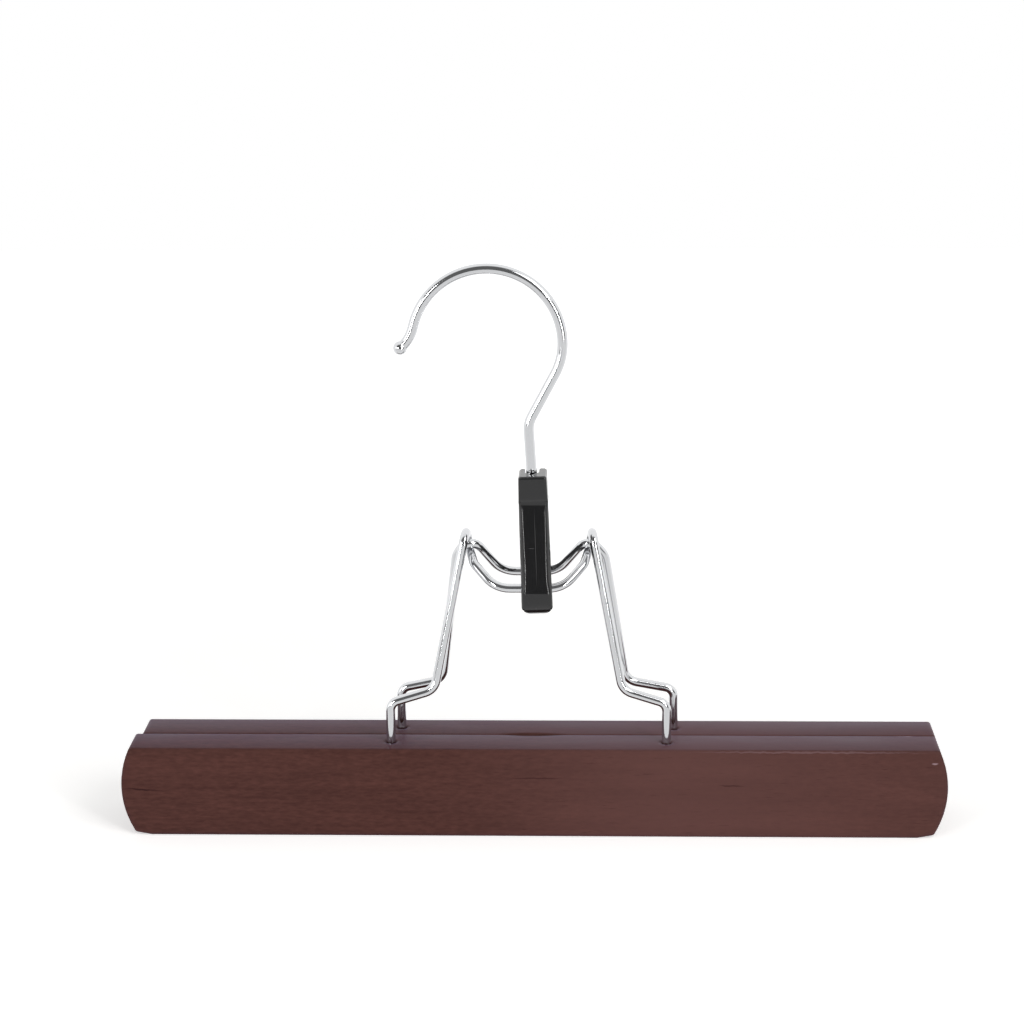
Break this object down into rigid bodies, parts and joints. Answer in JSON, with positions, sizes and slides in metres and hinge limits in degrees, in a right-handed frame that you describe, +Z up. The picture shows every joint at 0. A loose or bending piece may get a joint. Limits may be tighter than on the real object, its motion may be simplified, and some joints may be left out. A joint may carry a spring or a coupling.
{
  "type": "skirt hanger",
  "caption": "Wooden clamp hanger for skirts: two felt-lined bars on hinged bent-wire frames, with a wire hook and a moulded lock lever.",
  "frame": {"origin": "middle of the closing plane between the jaws, at the undersides of the bars", "axes": "+X along the bars to the right as seen from the lever's side, -Y towards the lever's side, +Z up through the hook"},
  "size_m": [0.25, 0.0304, 0.1741],
  "materials": {
    "stained_wood": "mahogany stain under satin varnish",
    "felt": "pressed felt",
    "chromed_wire": "bright plated steel wire",
    "black_plastic": "moulded, satin"
  },
  "bodies": {
    "front_jaw": {"front_bar": "stained_wood", "front_felt_pad": "felt", "front_wire_frame": "chromed_wire"},
    "rear_jaw": {"rear_bar": "stained_wood", "rear_felt_pad": "felt", "rear_wire_frame": "chromed_wire"},
    "lock_lever": {"lock_lever": "black_plastic"},
    "hook": {"hook": "chromed_wire"}
  },
  "joints": [
    {"name": "jaw_hinge", "type": "hinge", "parent": "front_jaw", "child": "rear_jaw", "pos_m": [0, 0, 0.0881], "axis": [1, 0, 0], "range_deg": [0, 24]},
    {"name": "lever_flip", "type": "hinge", "parent": "front_jaw", "child": "lock_lever", "pos_m": [0.0015, -0.0065, 0.0759], "axis": [1, 0, 0], "range_deg": [0, 96]},
    {"name": "hook_swing", "type": "hinge", "parent": "front_jaw", "child": "hook", "pos_m": [0.0015, -0.0065, 0.0759], "axis": [-1, 0, 0], "range_deg": [0, 60]}
  ],
  "couplings": [
    {"joint": "lever_flip", "follows": "jaw_hinge", "ratio": 4}
  ]
}
